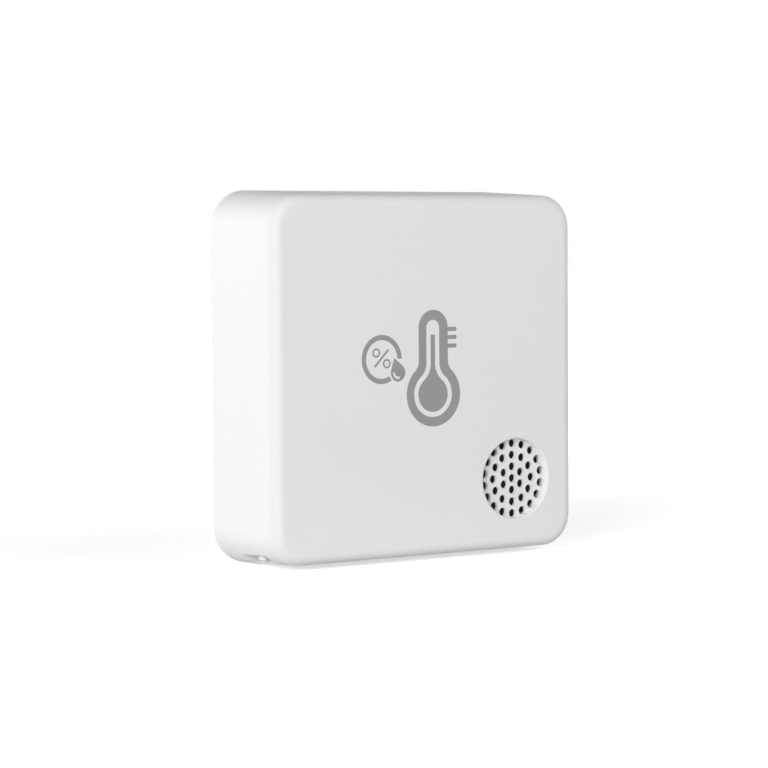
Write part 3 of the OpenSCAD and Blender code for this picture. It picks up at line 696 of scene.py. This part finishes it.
class SENSOR_OT_print(Operator):
    """Prints the thermometer and humidity pictograms on the front"""

    bl_idname = "sensor.print"
    bl_label = "Front print"

    def execute(self, context):
        sizes = context.scene.sensor_print
        ink = moulded("grey_ink", sizes.ink, 0.55, 9000.0, 0.05, 0.02)
        y = FRONT_Y - sizes.thickness / 2
        for name, outlines in (("thermometer_print", self.thermometer(sizes)),
                               ("humidity_print", self.humidity(sizes))):
            flat_print(name, outlines, y, sizes.thickness, "housing", ink)
        return {"FINISHED"}

    def bulb_outline(self, x, bulb_z, half, top, bulb_r, neck_r, flat):
        """A stem that swells into a bulb through a smooth neck, with a flat or a round top."""
        neck_x = half + neck_r
        neck_z = bulb_z + math.sqrt((bulb_r + neck_r) ** 2 - neck_x ** 2)
        meet = math.degrees(math.atan2(neck_z - bulb_z, neck_x))
        side = arc(0, bulb_z, bulb_r, -90, meet)
        side += arc(neck_x, neck_z, neck_r, meet + 180, 180, 16)[1:]
        if flat:
            side.append((half, top))
        else:
            side += arc(0, top - half, half, 0, 90, 20)
        left = [(-px, pz) for px, pz in reversed(side)]
        whole = side + (left if flat else left[1:])
        return [(x + px, pz) for px, pz in whole[:-1]]

    def thermometer(self, sizes):
        """The glass, the clear gap and the liquid, one inside the other, and three marks."""
        x, z = sizes.stem_x, sizes.bulb_z
        shapes = [
            self.bulb_outline(x, z, half=2.83 * MM, top=10.6 * MM,
                              bulb_r=5.2 * MM, neck_r=2.1 * MM, flat=False),
            self.bulb_outline(x - 0.09 * MM, z, half=1.27 * MM, top=9.0 * MM,
                              bulb_r=3.69 * MM, neck_r=2.8 * MM, flat=False),
            self.bulb_outline(x - 0.1 * MM, z, half=0.42 * MM, top=6.62 * MM,
                              bulb_r=2.85 * MM, neck_r=3.5 * MM, flat=True),
        ]
        left = x + 2.84 * MM
        right = left + 1.7 * MM
        half, corner = 0.33 * MM, 0.18 * MM
        for middle in (7.45 * MM, 6.16 * MM, 4.76 * MM):
            shapes.append([(left, middle - half)]
                          + arc(right - corner, middle - half + corner, corner, -90, 0, 6)
                          + arc(right - corner, middle + half - corner, corner, 0, 90, 6)
                          + [(left, middle + half)])
        return shapes

    def humidity(self, sizes):
        """A percent sign in an open ring, with a drop in the gap."""
        x, z, r, w = sizes.ring_x, sizes.ring_z, sizes.ring_r, sizes.ring_w
        first, last = 0.5, 299
        shapes = [arc(x, z, r, first, last, 80) + arc(x, z, r - w, last, first, 80)]
        dot_r, dot_w, slash_w = 0.76 * MM, 0.29 * MM, 0.36 * MM
        shapes += ring_pair(x - 1.06 * MM, z + 1.05 * MM, dot_r, dot_w)
        shapes += ring_pair(x + 0.98 * MM, z - 0.7 * MM, dot_r, dot_w)
        shapes.append(bar(x - 1.28 * MM, z - 1.07 * MM, x + 1.21 * MM, z + 1.43 * MM, slash_w))
        shapes += self.drop(x + 3.2 * MM, z - 2.2 * MM, r=1.41 * MM, reach=2.48 * MM, turn=107.3)
        return [[(x + (px - x) * sizes.narrow, pz) for px, pz in shape] for shape in shapes]

    def drop(self, x, z, r, reach, turn):
        """A drop with a light crescent at its lower left."""
        lean = math.degrees(math.acos(r / reach))
        body = arc(x, z, r, turn + lean, turn + 360 - lean, 60) + [on_circle(x, z, reach, turn)]
        near, far = 0.7 * r, 0.44 * r
        mid = (near + far) / 2
        cap = (near - far) / 2
        start, end = 185, 285
        first = on_circle(x, z, mid, start)
        last = on_circle(x, z, mid, end)
        light = arc(x, z, near, start, end, 24)
        light += arc(*last, cap, end, end + 180, 8)[1:]
        light += arc(x, z, far, end, start, 24)[1:]
        light += arc(*first, cap, start + 180, start + 360, 8)[1:-1]
        return [body, light]


class SENSOR_OT_air_path(Operator):
    """Finishes the dust mesh, its adhesive ring, the gasket and the sensor chip"""

    bl_idname = "sensor.air_path"
    bl_label = "Air path"

    def execute(self, context):
        finish(self.woven_mesh(), "dust_mesh")
        finish(moulded("white_adhesive", (0.8, 0.8, 0.78), 0.5), "mesh_adhesive_ring")
        finish(moulded("dark_foam", (0.06, 0.06, 0.065), 0.9, 2600.0, 0.8, 0.25), "sensor_gasket")
        finish(moulded("sensor_package", BLACK_PACKAGE, 0.42, 12000.0, 0.1, 0.2), "humidity_sensor")
        return {"FINISHED"}

    def woven_mesh(self):
        """Black threads, with painted shade darkening the gaps between them."""
        material = new_material("black_dust_mesh", (0.012, 0.012, 0.013), 0.7)
        tree = material.node_tree
        weave = place_texture(material, plain_weave, {"Threads": 4200.0})
        # Painted shade: the gaps between the threads are coloured darker than the threads.
        thread_tint_and_gap_shade = mix_colour(tree, weave["Thread"], (0.003, 0.003, 0.003), (0.014, 0.014, 0.015))
        set_input(material, "Base Color", thread_tint_and_gap_shade)
        set_input(material, "Roughness", spread(tree, weave["Height"], 0.9, 0.62))
        add_bump(material, weave["Height"], 0.5, WEAVE_DEPTH)
        return material


class SENSOR_OT_board(Operator):
    """Finishes the boards and their parts, and adds solder, plated holes, pads and the legend"""

    bl_idname = "sensor.board"
    bl_label = "Circuit board"

    def execute(self, context):
        look = context.scene.sensor_inside
        tin = drawn_metal("bright_tin", TIN, 0.3)
        gold = drawn_metal("gold_plate", (0.72, 0.52, 0.2), 0.28)
        finish(self.masked_board("green_solder_mask", look.mask_green, 1100.0), "main_board")
        finish(self.masked_board("dark_solder_mask", (0.012, 0.03, 0.045), 1700.0), "radio_board")
        finish(drawn_metal("tinned_can", TIN, 0.34), "radio_shield")
        finish(gold, "radio_antenna")
        finish(moulded("black_package", BLACK_PACKAGE, 0.5, 14000.0, 0.15, 0.2), "switch_case")
        finish(self.lens(), "status_led")
        finish(self.leaded_package(), "voltage_regulator")
        finish(self.can_on_base(), "reservoir_capacitor")
        finish(moulded("tan_ceramic", (0.42, 0.29, 0.17), 0.45, 9000.0, 0.1, 0.1), "chip_capacitors")
        finish(moulded("black_glaze", (0.02, 0.02, 0.02), 0.3, 9000.0, 0.05, 0.2), "chip_resistors")
        self.add_terminals(look, tin)
        self.add_solder(tin)
        self.add_plated_holes(look, tin)
        self.add_test_pads(gold)
        self.add_legend()
        return {"FINISHED"}

    def masked_board(self, name, colour, tracks):
        """Solder mask with faint tracks on the faces, and bare glass fibre on the edges."""
        material = new_material(name, colour, 0.32)
        tree = material.node_tree
        under = place_texture(material, board_tracks, {"Tracks": tracks})
        grain = place_texture(material, moulded_grain, {"Grains": 3000.0, "Clouds": 150.0})
        fibre = place_texture(material, plain_weave, {"Threads": 2500.0})
        lighter = tuple(min(1, c * 1.9 + 0.01) for c in colour)
        darker = tuple(c * 0.85 for c in colour)
        base = mix_colour(tree, grain["Tone"], darker, colour)
        masked = mix_colour(tree, under["Track"], base, lighter)
        bare = mix_colour(tree, fibre["Height"], (0.36, 0.34, 0.17), (0.5, 0.46, 0.26))
        facing = split_axes(tree, tree.nodes.new("ShaderNodeNewGeometry").outputs["True Normal"])
        edge = math_node(tree, "LESS_THAN", math_node(tree, "ABSOLUTE", facing["Y"]), 0.5)
        set_input(material, "Base Color", mix_colour(tree, edge, masked, bare))
        set_input(material, "Roughness", spread(tree, edge, 0.3, 0.75))
        add_bump(material, under["Track"], 0.5, TRACK_DEPTH)
        return material

    def lens(self):
        """The indicator: a clear, yellowish, coated lens."""
        material = moulded("lens_over_base", (0.8, 0.76, 0.5), 0.18, 6000.0, 0.03, 0.08)
        set_input(material, "Coat Weight", 0.5)
        return material

    def leaded_package(self):
        """A black package on tinned leads, told apart by their distance from its middle."""
        material = moulded("leaded_package", BLACK_PACKAGE, 0.48, 14000.0, 0.15, 0.2)
        tree = material.node_tree
        low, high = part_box("voltage_regulator")
        body_half = 0.81 * MM
        z = split_axes(tree, place_of(material))["Z"]
        off = math_node(tree, "ABSOLUTE", math_node(tree, "SUBTRACT", z, (low.z + high.z) / 2))
        lead = math_node(tree, "GREATER_THAN", off, body_half)
        paint_over(material, lead, TIN, lead)
        return material

    def can_on_base(self):
        """A drawn can on a black base, with a dark mark on one side of its top."""
        material = drawn_metal("drawn_can_on_base", (0.7, 0.71, 0.72), 0.3)
        tree = material.node_tree
        low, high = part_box("reservoir_capacitor")
        base_h, top_skin, mark_off = 0.62 * MM, 0.05 * MM, 1.1 * MM
        axes = split_axes(tree, place_of(material))
        base = math_node(tree, "LESS_THAN", axes["Y"], BOARD_REAR + base_h)
        top = math_node(tree, "GREATER_THAN", axes["Y"], high.y - top_skin)
        side = math_node(tree, "LESS_THAN", axes["X"], (low.x + high.x) / 2 - mark_off)
        dark = math_node(tree, "MAXIMUM", base, math_node(tree, "MULTIPLY", top, side))
        paint_over(material, dark, (0.015, 0.015, 0.016), math_node(tree, "SUBTRACT", 1, dark))
        return material

    def chip_boxes(self, node):
        """The separate chips of a node, as low and high corners."""
        work = bmesh.new()
        work.from_mesh(NODES[node].data)
        bmesh.ops.remove_doubles(work, verts=work.verts, dist=1e-6)
        boxes, left = [], set(work.verts)
        while left:
            island, edge = set(), [next(iter(left))]
            while edge:
                vertex = edge.pop()
                if vertex in island:
                    continue
                island.add(vertex)
                edge += [e.other_vert(vertex) for e in vertex.link_edges]
            left -= island
            boxes.append((Vector([min(v.co[a] for v in island) for a in range(3)]),
                          Vector([max(v.co[a] for v in island) for a in range(3)])))
        work.free()
        return sorted(boxes, key=lambda pair: tuple(pair[0]))

    def contact_foot(self, node):
        """Where a battery contact is soldered to the board."""
        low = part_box(node)[0]
        return low.x + 0.3 * MM, low.z + 0.6 * MM

    def add_terminals(self, look, tin):
        """Tinned ends on every chip part."""
        skin = 0.02 * MM
        inset = look.terminal_l / 2 - skin
        for node in CHIP_NODES:
            places = []
            for low, high in self.chip_boxes(node):
                size = high - low
                y, z = (low.y + high.y) / 2, (low.z + high.z) / 2
                places += [((x, y, z), NO_TURN, FULL_SIZE) for x in (low.x + inset, high.x - inset)]
            block = (look.terminal_l, size.y + 2 * skin, size.z + 2 * skin)
            grow(node + "_ends", places, tinned_end, {"Size": block}, tin, False, "housing")

    def add_solder(self, tin):
        """Solder joints along the radio module and at the feet of the contacts and parts."""
        radius, lead_pitch = 0.42 * MM, 0.95 * MM
        count = 8
        step = (SHIELD_HIGH.x - SHIELD_LOW.x) / count
        middle = (SHIELD_HIGH.x + SHIELD_LOW.x) / 2
        places = []
        for k in range(count):
            x = middle + (k - (count - 1) / 2) * step
            places += [on_board(x, z, (0.9, 1.7, 1.1)) for z in (RADIO_LOW.z, RADIO_HIGH.z)]
        for node in CHIP_NODES:
            for low, high in self.chip_boxes(node):
                z = (low.z + high.z) / 2
                places += [on_board(x, z, (0.8, 0.7, 1.1)) for x in (low.x, high.x)]
        low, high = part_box("voltage_regulator")
        for k in (-1, 0, 1):
            x = (low.x + high.x) / 2 + k * lead_pitch
            places += [on_board(x, z, (0.8, 0.6, 0.8)) for z in (low.z, high.z)]
        low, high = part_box("reservoir_capacitor")
        z = (low.z + high.z) / 2
        places += [on_board(x, z, (1.4, 0.9, 1.6)) for x in (low.x, high.x)]
        for node in ("negative_contact", "positive_contact"):
            places.append(on_board(*self.contact_foot(node), (2.0, 1.5, 2.6)))
        grow("solder_joints", places, round_joint, {"Radius": radius}, tin, True, "housing")

    def add_plated_holes(self, look, tin):
        """Plated holes on the sensor's corner of the board and beside the module."""
        lip = 0.06 * MM
        left, bottom = CHAMBER.x - 6.5 * MM, CHAMBER.z - 5.2 * MM
        pitch_x, pitch_z = 2.6 * MM, 3.3 * MM
        places = []
        for row in range(4):
            for column in range(6):
                if (row * 5 + column * 3) % 7 >= 3:
                    places.append(on_board(left + column * pitch_x, bottom + row * pitch_z))
        x = RADIO_LOW.x - 1.2 * MM
        places += [on_board(x, RADIO_LOW.z + (0.6 + 2.1 * k) * MM) for k in range(6)]
        grow("plated_holes", places, plated_ring, {"Radius": look.via_r, "Lip": lip},
             tin, True, "housing")

    def add_test_pads(self, gold):
        """A row of gold test pads under the sensor's corner."""
        pitch, radius, depth = 1.8 * MM, 0.6 * MM, 0.06 * MM
        z = BOARD_LOW.z + 1.6 * MM
        places = [on_board(CHAMBER.x + k * pitch, z) for k in range(-2, 3)]
        grow("test_pads", places, test_pad, {"Radius": radius, "Depth": depth},
             gold, False, "housing")

    def add_legend(self):
        """White outlines round the parts, and plus and minus signs by the battery feet."""
        white = moulded("white_legend", (0.75, 0.75, 0.72), 0.6, 9000.0, 0.05, 0.05)
        stroke = 0.16 * MM
        shapes = []
        for node, room in (("reservoir_capacitor", 0.45 * MM), ("voltage_regulator", 0.5 * MM),
                           ("radio_board", 0.6 * MM)):
            low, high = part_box(node)
            for off in (room, room - stroke):
                shapes.append(rectangle(low.x - off, low.z - off, high.x + off, high.z + off))
        arm, half, sign_off = 0.7 * MM, 0.12 * MM, 2.1 * MM
        x, z = self.contact_foot("negative_contact")
        x += sign_off
        shapes.append(rectangle(x - arm, z - half, x + arm, z + half))
        x, z = self.contact_foot("positive_contact")
        x += sign_off
        corners = ((arm, half), (half, half), (half, arm))
        shapes.append([(x + a * side - b * up, z + a * up + b * side)
                       for side, up in ((-1, 0), (0, -1), (1, 0), (0, 1)) for a, b in corners])
        y, thickness = BOARD_REAR + 0.01 * MM, 0.03 * MM
        flat_print("board_legend", shapes, y, thickness, "housing", white)


class SENSOR_OT_battery(Operator):
    """Finishes the tray and contacts, and builds the sleeved cells and wound springs"""

    bl_idname = "sensor.battery"
    bl_label = "Battery bay"

    def execute(self, context):
        look = context.scene.sensor_inside
        finish(moulded("plain_white_tray", (0.74, 0.75, 0.74), 0.5, 4000.0, 0.15, 0.02), "battery_tray")
        plate = drawn_metal("nickel_plate", (0.66, 0.65, 0.62), 0.22)
        finish(plate, "negative_contact", "positive_contact", "bridge_contact")
        finishes = (
            moulded("cell_sleeve", look.sleeve, 0.28, 7000.0, 0.04, 0.08),
            moulded("cell_band", look.band, 0.3, 7000.0, 0.04, 0.05),
            drawn_metal("cell_steel", (0.6, 0.6, 0.6), 0.3),
            moulded("cell_washer", (0.05, 0.05, 0.05), 0.6),
        )
        for node, positive in (("upper_cell", 1), ("lower_cell", -1)):
            self.add_cell(node, positive, look.band_l, finishes)
        self.add_springs(look, plate)
        return {"FINISHED"}

    def cell_profile(self, length, r, band_l):
        """A cell's half outline from its negative end: distance, radius and finish."""
        sleeve, band, steel, washer = range(4)
        shoulder = length - 0.8 * MM
        band_at = shoulder - band_l
        lip, steps = 0.4 * MM, 6
        bends = [math.pi / 2 * k / steps for k in range(steps + 1)]
        fold = [(lip * (1 - math.cos(a)), r - lip * (1 - math.sin(a))) for a in bends]
        profile = [(0.0, 0.0, steel), (0.0, r - 1.55 * MM, steel), (0.12 * MM, r - 1.4 * MM, steel),
                   (0.12 * MM, r - 1.2 * MM, sleeve), (0.03 * MM, r - 1.1 * MM, sleeve)]
        profile += [(0.03 * MM + along, radius, sleeve) for along, radius in fold]
        profile += [(band_at, r, sleeve), (band_at + 0.02 * MM, r, band)]
        profile += [(shoulder - along, radius, band) for along, radius in reversed(fold)]
        profile += [(shoulder, r - 1.1 * MM, band), (shoulder - 0.1 * MM, r - 1.2 * MM, band),
                    (shoulder - 0.3 * MM, r - 1.25 * MM, washer), (shoulder - 0.3 * MM, 2.2 * MM, washer),
                    (shoulder - 0.2 * MM, 2.05 * MM, steel), (length - 0.25 * MM, 1.9 * MM, steel),
                    (length - 0.06 * MM, 1.75 * MM, steel), (length, 1.45 * MM, steel),
                    (length, 0.0, steel)]
        return profile

    def add_cell(self, node, positive, band_l, finishes):
        """A cell with a shrunk sleeve, turned from its profile about its own axis."""
        low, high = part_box(node)
        profile = self.cell_profile(high.x - low.x, (high.y - low.y) / 2, band_l)
        axis = Vector((low.x if positive > 0 else high.x, (low.y + high.y) / 2, (low.z + high.z) / 2))
        steps = 72
        turns = [2 * math.pi * k / steps for k in range(steps)]
        work = bmesh.new()
        rings = []
        for along, radius, finish_index in profile:
            points = [Vector((positive * along, radius * math.cos(t), radius * math.sin(t)))
                      for t in (turns if radius else turns[:1])]
            rings.append([work.verts.new(axis + point) for point in points])
        for k in range(1, len(rings)):
            before, after = rings[k - 1], rings[k]
            for s in range(steps):
                t = (s + 1) % steps
                corners = [before[s % len(before)], before[t % len(before)],
                           after[t % len(after)], after[s % len(after)]]
                face = work.faces.new(list(dict.fromkeys(corners)))
                face.material_index = profile[k][2]
                face.smooth = True
        bmesh.ops.recalc_face_normals(work, faces=work.faces)
        mesh = bpy.data.meshes.new("sleeved_" + node)
        work.to_mesh(mesh)
        work.free()
        mesh.set_sharp_from_angle(angle=math.radians(32))
        for material in finishes:
            mesh.materials.append(material)
        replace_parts(add_object("sleeved_" + node, mesh, "housing"), node)

    def add_springs(self, look, plate):
        """The two contact springs, wound smoothly where the faceted solids are."""
        wire = look.spring_wire / 2
        taper = 0.8 * MM
        places = []
        for node, side in (("negative_spring", 1), ("bridge_spring", -1)):
            low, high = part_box(node)
            x = low.x + wire if side > 0 else high.x - wire
            point = (x, (low.y + high.y) / 2, (low.z + high.z) / 2)
            places.append((point, (0, side * math.pi / 2, 0), FULL_SIZE))
        base = (high.z - low.z) / 2 - wire
        values = {"Turns": float(look.spring_turns), "Base": base, "Tip": base - taper,
                  "Length": high.x - low.x - 2 * wire, "Wire": wire}
        springs = grow("contact_springs", places, tapered_coil, values, plate, True, "housing")
        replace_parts(springs, "negative_spring", "bridge_spring")


class SENSOR_OT_screws(Operator):
    """Finishes the small screws"""

    bl_idname = "sensor.screws"
    bl_label = "Screws"

    def execute(self, context):
        finish(drawn_metal("zinc_plate", (0.5, 0.5, 0.5), 0.34), "tray_screws", "board_screws")
        return {"FINISHED"}


class SENSOR_PT_looks(Panel):
    """Lists the sensor's pieces and their sizes"""

    bl_label = "Sensor"
    bl_idname = "SENSOR_PT_looks"
    bl_space_type = "VIEW_3D"
    bl_region_type = "UI"
    bl_category = "Sensor"

    def draw(self, context):
        for operator in OPERATORS:
            self.layout.operator(operator.bl_idname)
        for name, group in GROUPS.items():
            box = self.layout.box()
            box.label(text=group.__doc__)
            for field in group.__annotations__:
                box.prop(getattr(context.scene, name), field)


GROUPS = {
    "sensor_shell": ShellLook,
    "sensor_print": PrintSizes,
    "sensor_inside": InsideLook,
    "sensor_stage": StageSetup,
}
OPERATORS = (
    SENSOR_OT_stage, SENSOR_OT_shell, SENSOR_OT_print, SENSOR_OT_air_path,
    SENSOR_OT_board, SENSOR_OT_battery, SENSOR_OT_screws,
)


def register():
    for cls in (*GROUPS.values(), *OPERATORS, SENSOR_PT_looks):
        bpy.utils.register_class(cls)
    for name, group in GROUPS.items():
        setattr(bpy.types.Scene, name, PointerProperty(type=group))


def unregister():
    for name in GROUPS:
        delattr(bpy.types.Scene, name)
    for cls in reversed((*GROUPS.values(), *OPERATORS, SENSOR_PT_looks)):
        bpy.utils.unregister_class(cls)


def main():
    register()
    bpy.ops.sensor.stage()
    bpy.ops.sensor.shell()
    bpy.ops.sensor.print()
    bpy.ops.sensor.air_path()
    bpy.ops.sensor.board()
    bpy.ops.sensor.battery()
    bpy.ops.sensor.screws()


if __name__ == "__main__":
    main()
